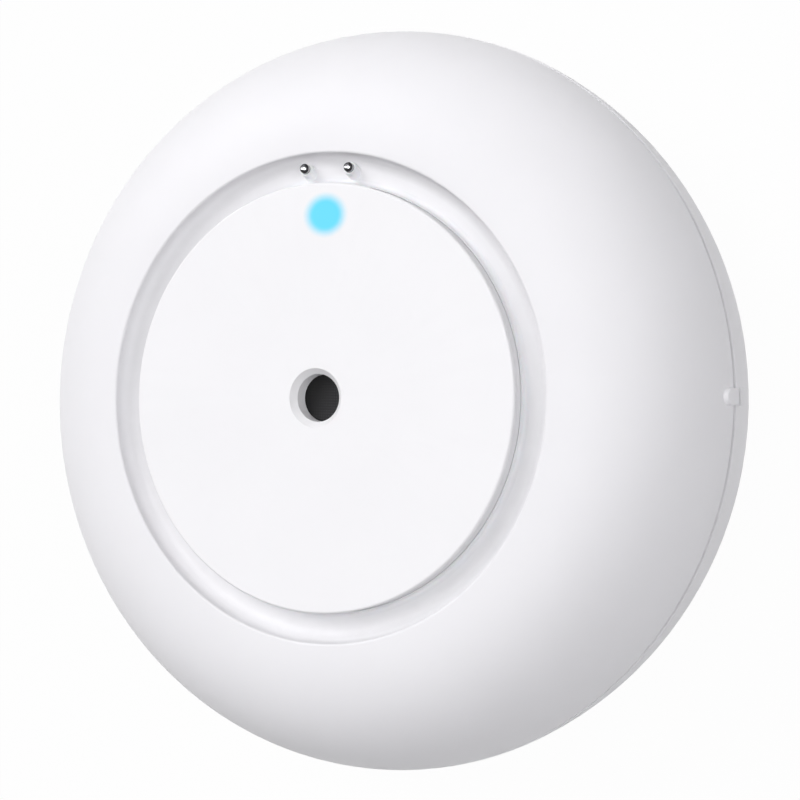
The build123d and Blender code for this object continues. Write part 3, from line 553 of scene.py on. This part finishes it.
class Shaper(Nodes):
    """A Geometry Nodes tree in the making, with named inputs for its sizes."""

    def __init__(self, name, **sizes):
        super().__init__(bpy.data.node_groups.new(name, "GeometryNodeTree"))
        self.tree.interface.new_socket("Geometry", in_out="OUTPUT", socket_type="NodeSocketGeometry")
        self.values = {}
        for key, value in sizes.items():
            kind = "NodeSocketInt" if isinstance(value, int) else "NodeSocketFloat"
            made = self.tree.interface.new_socket(key.replace("_", " ").capitalize(), in_out="INPUT",
                                                  socket_type=kind)
            self.values[made.identifier] = value
        self.size = dict(zip(sizes, self.node("NodeGroupInput").outputs))

    def vector(self, x=0.0, y=0.0, z=0.0):
        return self.node("ShaderNodeCombineXYZ", {"X": x, "Y": y, "Z": z}).outputs[0]

    def index(self):
        return self.node("GeometryNodeInputIndex").outputs[0]

    def placed(self, geometry, position):
        return self.node("GeometryNodeSetPosition", {"Geometry": geometry, "Position": position}).outputs[0]

    def welded(self, geometry):
        return self.node("GeometryNodeMergeByDistance", {"Geometry": geometry, "Distance": WELD}).outputs[0]

    def by_index(self, data_type, values, index):
        made = self.node("GeometryNodeIndexSwitch", data_type=data_type)
        for _ in values[2:]:
            made.index_switch_items.new()
        self.put(index, made.inputs[0])
        for value, socket in zip(values, made.inputs[1:]):
            self.put(value, socket)
        return made.outputs[0]

    def outline(self, corners, rounds, closed, fineness=4):
        """Curve through corners given as radius and level, each with its own rounding."""
        index = self.index()
        line = self.node("GeometryNodeMeshLine", {"Count": len(corners)})
        places = [self.vector(radius, 0, level) for radius, level in corners]
        placed = self.placed(line.outputs[0], self.by_index("VECTOR", places, index))
        curve = self.node("GeometryNodeMeshToCurve", {"Mesh": placed})
        cyclic = self.node("GeometryNodeSetSplineCyclic", {"Geometry": curve.outputs[0], "Cyclic": closed})
        rounded = self.node("GeometryNodeFilletCurve", {
            "Curve": cyclic.outputs[0], "Count": fineness, "Limit Radius": True,
            "Radius": self.by_index("FLOAT", rounds, index)}, mode="POLY")
        return rounded.outputs[0]

    def sheet(self, sides, rows):
        """Grid with a row for each point of an outline, and the column and row of its points."""
        grid = self.node("GeometryNodeMeshGrid", {"Vertices X": self.plus(sides, 1), "Vertices Y": rows})
        index = self.index()
        column = self.math("FLOOR", self.over(self.plus(index, 0.5), rows))
        return grid.outputs[0], column, self.minus(index, self.times(column, rows))

    def wound(self, grid, radius, angle, level):
        """Grid laid round the upright axis and welded shut."""
        x = self.times(radius, self.math("COSINE", angle))
        y = self.times(radius, self.math("SINE", angle))
        return self.welded(self.placed(grid, self.vector(x, y, level)))

    def turned(self, outline, sides, closed=False):
        """Solid that an outline sweeps round the upright axis."""
        count = self.node("GeometryNodeAttributeDomainSize", {"Geometry": outline}, component="CURVE")
        points = count.outputs["Point Count"]
        grid, column, row = self.sheet(sides, self.plus(points, 1 if closed else 0))
        wrapped = self.math("MODULO", self.plus(row, 0.25), points)
        taken = self.node("GeometryNodeSampleIndex", data_type="FLOAT_VECTOR", domain="POINT", inputs={
            "Geometry": outline, "Value": self.node("GeometryNodeInputPosition").outputs[0],
            "Index": self.math("FLOOR", wrapped)})
        radius, _, level = self.split(taken.outputs[0])
        return self.wound(grid, radius, self.over(self.times(column, 2 * pi), sides), level)

    def moved(self, geometry, shift=None, turn=None):
        made = self.node("GeometryNodeTransform", {"Geometry": geometry})
        if shift is not None:
            self.put(shift, made.inputs["Translation"])
        if turn is not None:
            self.put(turn, made.inputs["Rotation"])
        return made.outputs[0]

    def joined(self, *parts):
        made = self.node("GeometryNodeJoinGeometry")
        for part in parts:
            self.put(part, made.inputs[0])
        return made.outputs[0]

    def on_circle(self, geometry, count, circle, first_angle, level, turns=None):
        """Copies of a shape spaced evenly round a circle."""
        points = self.node("GeometryNodeMeshCircle", {"Vertices": count, "Radius": circle})
        copies = self.node("GeometryNodeInstanceOnPoints", {"Points": points.outputs[0],
                                                            "Instance": geometry})
        if turns is not None:
            self.put(turns, copies.inputs["Rotation"])
        return self.moved(copies.outputs[0], self.vector(z=level), self.vector(z=first_angle))

    def finish(self, geometry, material, crease=35):
        """Realizes, smooths all but sharp edges and sets the material."""
        real = self.node("GeometryNodeRealizeInstances", {"Geometry": geometry})
        edge = self.node("GeometryNodeInputMeshEdgeAngle").outputs["Unsigned Angle"]
        soft = self.math("LESS_THAN", edge, radians(crease))
        smooth = self.node("GeometryNodeSetShadeSmooth", domain="EDGE", inputs={
            "Geometry": real.outputs[0], "Shade Smooth": soft})
        painted = self.node("GeometryNodeSetMaterial", {"Geometry": smooth.outputs[0], "Material": material})
        self.put(painted.outputs[0], self.node("NodeGroupOutput").inputs[0])


def realized(name, shape, node):
    """Plain mesh of a shape, which rides with its CAD node and stands for it."""
    made = bpy.data.objects.new(name, bpy.data.meshes.new(name))
    bpy.context.scene.collection.objects.link(made)
    modifier = made.modifiers.new("Shape", "NODES")
    modifier.node_group = shape.tree
    for identifier, value in shape.values.items():
        modifier[identifier] = value
    graph = bpy.context.evaluated_depsgraph_get()
    plain = bpy.data.meshes.new_from_object(made.evaluated_get(graph), depsgraph=graph)
    if not plain.polygons:
        raise RuntimeError(f"{name} came out empty")
    made.modifiers.remove(modifier)
    finish = next(material for material in plain.materials if material is not None)
    plain.materials.clear()
    plain.materials.append(finish)
    plain.polygons.foreach_set("material_index", [0] * len(plain.polygons))
    made.data = plain
    plain.name = name
    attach(made, NODES[node]["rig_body"])
    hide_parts(node)
    return made


def wiper_seal(material, sides):
    """Ring whose lip stands a running gap clear of the button and rounds off into the gutter floor."""
    low, high = PLACE["button_seal"]
    shape = Shaper("wiper_seal", inner_radius=DISC_RADIUS + RUNNING_GAP, outer_radius=high.x, seat=low.z,
                   gutter_floor=high.z - 0.5 * MM, lip_tip=high.z, lip_width=0.22 * MM, sides=sides)
    size = shape.size
    lip = shape.plus(size["inner_radius"], size["lip_width"])
    crest = shape.plus(size["inner_radius"], shape.times(size["lip_width"], 0.3))
    corners = [(size["inner_radius"], size["seat"]), (size["outer_radius"], size["seat"]),
               (size["outer_radius"], size["gutter_floor"]), (lip, size["gutter_floor"]),
               (crest, size["lip_tip"]), (size["inner_radius"], size["lip_tip"])]
    outline = shape.outline(corners, [0.0, 0.0, 0.0, 0.4 * MM, 0.0, 0.0], True, 8)
    shape.finish(shape.turned(outline, size["sides"], True), material)
    return realized("wiper_seal", shape, "button_seal")


def pin_sleeves(material):
    """Collars at the foot of the two upper probes, leaning with them."""
    shape = Shaper("pin_sleeves", bore_radius=0.52 * MM, foot_radius=0.74 * MM, top_radius=0.66 * MM,
                   height=1.15 * MM, foot_depth=0.3 * MM, spacing=5.1 * MM, along=PROBE_Y,
                   floor=PROBE_FOOT_Z + SLEEVE_LIFT, lean=-PROBE_LEAN, sides=40)
    size = shape.size
    foot = shape.times(size["foot_depth"], -1)
    corners = [(size["bore_radius"], foot), (size["foot_radius"], foot), (size["foot_radius"], 0.0),
               (size["top_radius"], size["height"]), (size["bore_radius"], size["height"])]
    outline = shape.outline(corners, [0.0, 0.0, 0.3 * MM, 0.1 * MM, 0.04 * MM], True)
    collar = shape.turned(outline, size["sides"], True)
    half = shape.over(size["spacing"], 2)
    level = shape.minus(size["floor"], SLEEVE_LIFT)
    points = shape.node("GeometryNodeMeshLine", {
        "Count": 2, "Start Location": shape.vector(shape.times(half, -1), size["along"], level),
        "Offset": shape.vector(size["spacing"])})
    pair = shape.node("GeometryNodeInstanceOnPoints", {
        "Points": points.outputs[0], "Instance": collar, "Rotation": shape.vector(size["lean"])})
    real = shape.node("GeometryNodeRealizeInstances", {"Geometry": pair.outputs[0]})
    x, y, z = shape.split(shape.node("GeometryNodeInputPosition").outputs[0])
    rested = shape.placed(real.outputs[0], shape.vector(x, y, shape.math("MAXIMUM", z, size["floor"])))
    shape.finish(shape.welded(rested), material, 50)
    return realized("pin_sleeves", shape, "probe_sleeves")


def membrane_cloth(material):
    """Thin cloth, glued flat round its rim and slack over the sound hole."""
    low, high = PLACE["sound_membrane"]
    shape = Shaper("membrane_cloth", radius=high.x, free_radius=2.7 * MM, top=high.z, underside=low.z,
                   slack=0.06 * MM, sides=64)
    size = shape.size
    dip = shape.minus(size["top"], size["slack"])
    inner = shape.times(size["free_radius"], 0.55)
    corners = [(0.0, size["underside"]), (size["radius"], size["underside"]), (size["radius"], size["top"]),
               (size["free_radius"], size["top"]), (inner, dip), (0.0, dip)]
    outline = shape.outline(corners, [0.0, 0.04 * MM, 0.04 * MM, 0.8 * MM, 0.8 * MM, 0.0], False, 5)
    shape.finish(shape.turned(outline, size["sides"]), material)
    return realized("membrane_cloth", shape, "sound_membrane")


def silicone_pads(material):
    """Three domed return springs with a foot flange, a thin skirt and a solid cap."""
    low, high = PLACE["return_pads"]
    foot = 2.6 * MM
    shape = Shaper("silicone_pads", count=3, circle=-low.x - foot, first_angle=radians(60),
                   foot_radius=foot, cap_radius=1.62 * MM, wall=0.6 * MM, roof=1.2 * MM,
                   flange=0.5 * MM, board=low.z, top=high.z, sides=40)
    size = shape.size
    pad_height = shape.minus(size["top"], size["board"])
    roof = shape.minus(pad_height, size["roof"])
    flange_edge = shape.times(size["foot_radius"], 0.97)
    skirt = shape.times(size["foot_radius"], 0.86)
    waist = shape.times(pad_height, 0.22)
    bore_foot = shape.minus(size["foot_radius"], size["wall"])
    bore_waist = shape.minus(skirt, size["wall"])
    bore_top = shape.minus(size["cap_radius"], shape.times(size["wall"], 1.2))
    shoulder = shape.times(roof, 0.86)
    corners = [(0.0, roof), (bore_top, roof), (bore_top, shoulder), (bore_waist, waist), (bore_foot, 0.0),
               (size["foot_radius"], 0.0), (flange_edge, size["flange"]), (skirt, waist),
               (size["cap_radius"], shoulder), (size["cap_radius"], pad_height), (0.0, pad_height)]
    rounds = [0.0, 0.2, 0.4, 0.5, 0.1, 0.05, 0.12, 0.6, 0.8, 0.3, 0.0]
    outline = shape.outline(corners, [r * MM for r in rounds], False)
    pad = shape.turned(outline, size["sides"])
    spread = shape.on_circle(pad, size["count"], size["circle"], size["first_angle"], size["board"])
    shape.finish(spread, material)
    made = realized("silicone_pads", shape, "return_pads")
    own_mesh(made)
    return made


def pan_screws(name, node, count, circle, first_angle, seat, facing, sizes, shank, length, head, height,
               material):
    """Pan head screws with a cross recess and a rolled thread, spaced round a circle."""
    shape = Shaper(name, count=count, circle=circle, first_angle=first_angle, seat=seat,
                   head_radius=head, head_height=height, shank_radius=shank, shank_length=length,
                   pitch=shank * 0.7, thread_depth=shank * 0.16, recess_reach=head * sizes.recess_reach,
                   recess_width=head * sizes.recess_width, recess_depth=height * 0.6, seed=7,
                   sides=sizes.sides, thread_rows=sizes.thread_rows)
    size = shape.size
    rim = shape.times(size["head_height"], 0.45)
    crown = shape.times(size["head_radius"], 0.55)
    root = shape.minus(size["shank_radius"], size["thread_depth"])
    below = shape.times(size["pitch"], -0.4)
    corners = [(0.0, below), (root, below), (root, 0.0), (size["head_radius"], 0.0),
               (size["head_radius"], rim), (crown, size["head_height"]), (0.0, size["head_height"])]
    rounds = [0.0, 0.0, 0.0, 0.08 * MM, head * 0.3, head * 0.5, 0.0]
    head_form = shape.turned(shape.outline(corners, rounds, False, 5), size["sides"])
    for turn in (0, pi / 2):
        arm = shape.node("GeometryNodeMeshCube", {"Size": shape.vector(
            shape.times(size["recess_reach"], 2), size["recess_width"],
            shape.times(size["recess_depth"], 2))})
        placed = shape.moved(arm.outputs[0], shape.vector(z=size["head_height"]), (0, 0, turn))
        cut = shape.node("GeometryNodeMeshBoolean", {"Mesh 1": head_form, "Mesh 2": placed},
                         operation="DIFFERENCE", solver="EXACT")
        head_form = cut.outputs[0]
    rows = size["thread_rows"]
    grid, column, row = shape.sheet(size["sides"], rows)
    down = shape.over(row, shape.minus(rows, 1))
    drop = shape.times(down, size["shank_length"])
    around = shape.over(column, size["sides"])
    phase = shape.plus(shape.over(drop, size["pitch"]), around)
    ridge = shape.math("PINGPONG", phase, 0.5)
    taper = shape.math("MINIMUM", shape.times(shape.minus(1.0, down), 9), 1)
    full = shape.plus(root, shape.times(shape.times(ridge, 2), size["thread_depth"]))
    closing = shape.math("MINIMUM", row, taper)
    thread = shape.wound(grid, shape.times(full, closing), shape.times(around, 2 * pi),
                         shape.times(drop, -1))
    outward = shape.node("GeometryNodeFlipFaces", {"Mesh": thread})
    one = shape.joined(head_form, outward.outputs[0])
    if facing < 0:
        one = shape.moved(one, turn=(pi, 0, 0))
    # Socket 3 takes the largest turn
    random = shape.node("FunctionNodeRandomValue", {3: 2 * pi, "Seed": size["seed"]}, data_type="FLOAT")
    turns = shape.vector(z=random.outputs[1])
    spread = shape.on_circle(one, size["count"], size["circle"], size["first_angle"], size["seat"], turns)
    shape.finish(spread, material, 40)
    return realized(name, shape, node)


# Studio

def seen_as_white(nodes, plain, white, share, output):
    """A share of white for camera, gloss and glass rays, and plain for the light that falls on things."""
    path = nodes.node("ShaderNodeLightPath")
    seen = path.outputs["Is Camera Ray"]
    for other in ("Is Glossy Ray", "Is Transmission Ray"):
        seen = nodes.math("MAXIMUM", seen, path.outputs[other])
    mix = nodes.node("ShaderNodeMixShader", {0: nodes.times(seen, share), 1: plain.outputs[0],
                                             2: white.outputs[0]})
    nodes.node(output, {"Surface": mix.outputs[0]})


def floor_material(studio):
    """Pale floor that the camera sees as white, with the shadow of the sensor kept."""
    made = bpy.data.materials.new("studio_floor")
    made.use_nodes = True
    nodes = Nodes(made.node_tree)
    nodes.tree.nodes.clear()
    diffuse = nodes.node("ShaderNodeBsdfDiffuse", {"Color": (*studio.floor, 1)})
    white = nodes.node("ShaderNodeEmission")
    seen_as_white(nodes, diffuse, white, studio.white_share, "ShaderNodeOutputMaterial")
    return made


def studio_world(studio):
    """White for the camera, gloss and glass, soft light for the rest."""
    world = bpy.data.worlds.new("studio")
    bpy.context.scene.world = world
    world.use_nodes = True
    nodes = Nodes(world.node_tree)
    nodes.tree.nodes.clear()
    soft = nodes.node("ShaderNodeBackground", {"Color": (*studio.sky_colour, 1), "Strength": studio.sky})
    white = nodes.node("ShaderNodeBackground", {"Color": (1, 1, 1, 1)})
    seen_as_white(nodes, soft, white, 1, "ShaderNodeOutputWorld")


def lamp(name, bearing, height, strength, softness, colour):
    """Large far lamp that shines from a bearing and a height above the floor."""
    data = bpy.data.lights.new(name, "SUN")
    data.energy = strength
    data.angle = softness
    data.color = colour
    made = bpy.data.objects.new(name, data)
    toward = Vector((cos(height) * cos(bearing), cos(height) * sin(bearing), sin(height)))
    made.rotation_euler = toward.to_track_quat("Z", "Y").to_euler()
    made.location = toward
    bpy.context.scene.collection.objects.link(made)


def camera_matrix(studio):
    right = Vector(studio.camera_right).normalized()
    up = Vector(studio.camera_up)
    back = right.cross(up).normalized()
    up = back.cross(right)
    turn = Matrix((right, up, back)).transposed().to_4x4()
    return Matrix.Translation(Vector(studio.camera)) @ turn


class LEAKSENSOR_OT_stage(bpy.types.Operator):
    """Build the floor, the lamps, the world and the camera."""
    bl_idname = "leaksensor.stage"
    bl_label = "Studio"

    def execute(self, context):
        studio = context.scene.leak_sensor.studio
        half = studio.floor_size / 2
        mesh = bpy.data.meshes.new("studio_floor")
        corners = [(-half, -half, 0), (half, -half, 0), (half, half, 0), (-half, half, 0)]
        mesh.from_pydata(corners, [], [(0, 1, 2, 3)])
        mesh.materials.append(floor_material(studio))
        floor = bpy.data.objects.new("studio_floor", mesh)
        context.scene.collection.objects.link(floor)
        studio_world(studio)
        lamp("key_lamp", studio.key_bearing, studio.key_height, studio.key, studio.softness,
             studio.key_colour)
        lamp("fill_lamp", studio.fill_bearing, studio.fill_height, studio.fill, studio.softness,
             studio.fill_colour)
        lamp("top_lamp", 0.0, radians(90), studio.top, studio.softness, studio.key_colour)
        data = bpy.data.cameras.new("camera")
        data.lens = studio.lens
        data.sensor_width = 36
        data.sensor_fit = "HORIZONTAL"
        data.clip_start = 0.005
        camera = bpy.data.objects.new("camera", data)
        camera.matrix_world = camera_matrix(studio)
        context.scene.collection.objects.link(camera)
        context.scene.camera = camera
        context.scene.view_settings.view_transform = "Standard"
        return {"FINISHED"}


class LEAKSENSOR_OT_shell(bpy.types.Operator):
    """Finish the domed housing, the base and their seals."""
    bl_idname = "leaksensor.shell"
    bl_label = "Shell"

    def execute(self, context):
        finish = context.scene.leak_sensor.shell
        inside = context.scene.leak_sensor.inside
        # The housing gets painted shade in its gutter and its seam.
        paint(painted_gutter_shade(moulded("housing_white", finish.housing, finish), finish.painted_shade), "top_housing")
        paint(moulded("base_white", finish.base, finish, 1.05), "base_cover")
        paint(silicone("gasket_grey", inside.rubber, 0.6), "housing_gasket", "probe_gaskets")
        return {"FINISHED"}


class LEAKSENSOR_OT_button(bpy.types.Operator):
    """Finish the button, its seal and the sound port."""
    bl_idname = "leaksensor.button"
    bl_label = "Button"

    def execute(self, context):
        settings = context.scene.leak_sensor
        paint(lit_button("button_white", settings.shell.button, settings.shell, settings.light), "button_disc")
        wiper_seal(silicone("seal_white", settings.shell.seal).material, 240)
        pin_sleeves(silicone("collar_white", settings.shell.collar).material)
        membrane_cloth(woven_membrane("membrane_black", settings.inside.membrane).material)
        silicone_pads(silicone("pad_silicone", (0.55, 0.57, 0.60), 0.45, 0.5).material)
        paint(foam("foam_grey", (0.05, 0.05, 0.055)), "membrane_ring")
        return {"FINISHED"}


class LEAKSENSOR_OT_probes(bpy.types.Operator):
    """Finish the upper pins, the feet and the sprung contacts."""
    bl_idname = "leaksensor.probes"
    bl_label = "Probes"

    def execute(self, context):
        metal = context.scene.leak_sensor.metal
        paint(probe_pin("probe_metal", metal.pin, metal.polish), "upper_probes")
        paint(polished("probe_steel", metal.foot, metal.polish * 1.2), "base_probes")
        paint(polished("pin_gold", metal.gold, 0.2), "spring_contacts", "probe_pads")
        return {"FINISHED"}


class LEAKSENSOR_OT_electronics(bpy.types.Operator):
    """Finish the board and what stands on it."""
    bl_idname = "leaksensor.electronics"
    bl_label = "Electronics"

    def execute(self, context):
        settings = context.scene.leak_sensor
        inside = settings.inside
        paint(solder_mask("board_green", inside.mask), "circuit_board")
        paint(moulded("buzzer_black", inside.black, settings.shell, 0.9), "buzzer_case")
        paint(moulded("chip_black", inside.black, settings.shell, 0.8), "main_chip")
        paint(moulded("switch_black", inside.black, settings.shell, 0.6), "switch_body")
        paint(moulded("plunger_grey", (0.10, 0.10, 0.11), settings.shell, 0.8), "switch_plunger")
        paint(piezo_sheet("piezo_brass", settings.metal.brass), "piezo_disc")
        paint(brushed("shield_steel", (0.60, 0.60, 0.61), 0.34), "radio_module")
        paint(moulded("led_white", (0.80, 0.80, 0.76), settings.shell, 0.5), "status_led")
        paint(clear_acrylic("guide_clear"), "light_guide")
        return {"FINISHED"}


class LEAKSENSOR_OT_power(bpy.types.Operator):
    """Finish the chassis, the cells and their contacts."""
    bl_idname = "leaksensor.power"
    bl_label = "Power"

    def execute(self, context):
        settings = context.scene.leak_sensor
        paint(moulded("chassis_white", settings.inside.chassis, settings.shell, 1.1), "inner_chassis")
        paint(cell_wrap("cell_wrap", settings.inside.wrap, 1), "battery_cell_left")
        paint(cell_wrap("cell_wrap_turned", settings.inside.wrap, -1), "battery_cell_right")
        paint(brushed("contact_nickel", settings.metal.nickel, 0.28, (1, 0.05, 1)),
              "positive_contact", "negative_contact", "link_contact")
        return {"FINISHED"}


class LEAKSENSOR_OT_screws(bpy.types.Operator):
    """Finish the screws of the chassis and the board."""
    bl_idname = "leaksensor.screws"
    bl_label = "Screws"

    def execute(self, context):
        sizes = context.scene.leak_sensor.screws
        steel = polished("screw_steel", (0.50, 0.50, 0.52), 0.3).material
        low, high = PLACE["chassis_screws"]
        head, height, shank = CHASSIS_SCREW
        pan_screws("chassis_pan_screws", "chassis_screws", 4, (high.x - head) / cos(radians(45)),
                   radians(45), low.z + height, -1, sizes, shank, high.z - low.z - height, head, height, steel)
        low, high = PLACE["board_screws"]
        head, height, shank = BOARD_SCREW
        pan_screws("board_pan_screws", "board_screws", 3, -low.y - head, radians(30), high.z - height, 1,
                   sizes, shank, high.z - low.z - height, head, height, steel)
        return {"FINISHED"}


class LEAKSENSOR_PT_panel(bpy.types.Panel):
    """Settings and steps of the leak sensor."""
    bl_idname = "LEAKSENSOR_PT_panel"
    bl_label = "Leak Sensor"
    bl_space_type = "VIEW_3D"
    bl_region_type = "UI"
    bl_category = "Leak Sensor"

    def draw(self, context):
        settings = context.scene.leak_sensor
        for name in ("shell", "light", "metal", "inside", "screws", "studio"):
            box = self.layout.box()
            box.label(text=name.capitalize())
            group = getattr(settings, name)
            for key in group.__annotations__:
                box.prop(group, key)
        for step in STEPS:
            self.layout.operator(step.bl_idname)


GROUPS = (ShellFinish, LightFinish, MetalFinish, InsideFinish, ScrewSizes, StudioSetup, LeakSensorSettings)
STEPS = (LEAKSENSOR_OT_stage, LEAKSENSOR_OT_shell, LEAKSENSOR_OT_button, LEAKSENSOR_OT_probes,
         LEAKSENSOR_OT_electronics, LEAKSENSOR_OT_power, LEAKSENSOR_OT_screws)
CLASSES = (*GROUPS, *STEPS, LEAKSENSOR_PT_panel)


def register():
    for made in CLASSES:
        bpy.utils.register_class(made)
    bpy.types.Scene.leak_sensor = PointerProperty(type=LeakSensorSettings)


def unregister():
    del bpy.types.Scene.leak_sensor
    for made in reversed(CLASSES):
        bpy.utils.unregister_class(made)


def main():
    register()
    bpy.ops.leaksensor.stage()
    bpy.ops.leaksensor.shell()
    bpy.ops.leaksensor.button()
    bpy.ops.leaksensor.probes()
    bpy.ops.leaksensor.electronics()
    bpy.ops.leaksensor.power()
    bpy.ops.leaksensor.screws()


if __name__ == "__main__":
    main()
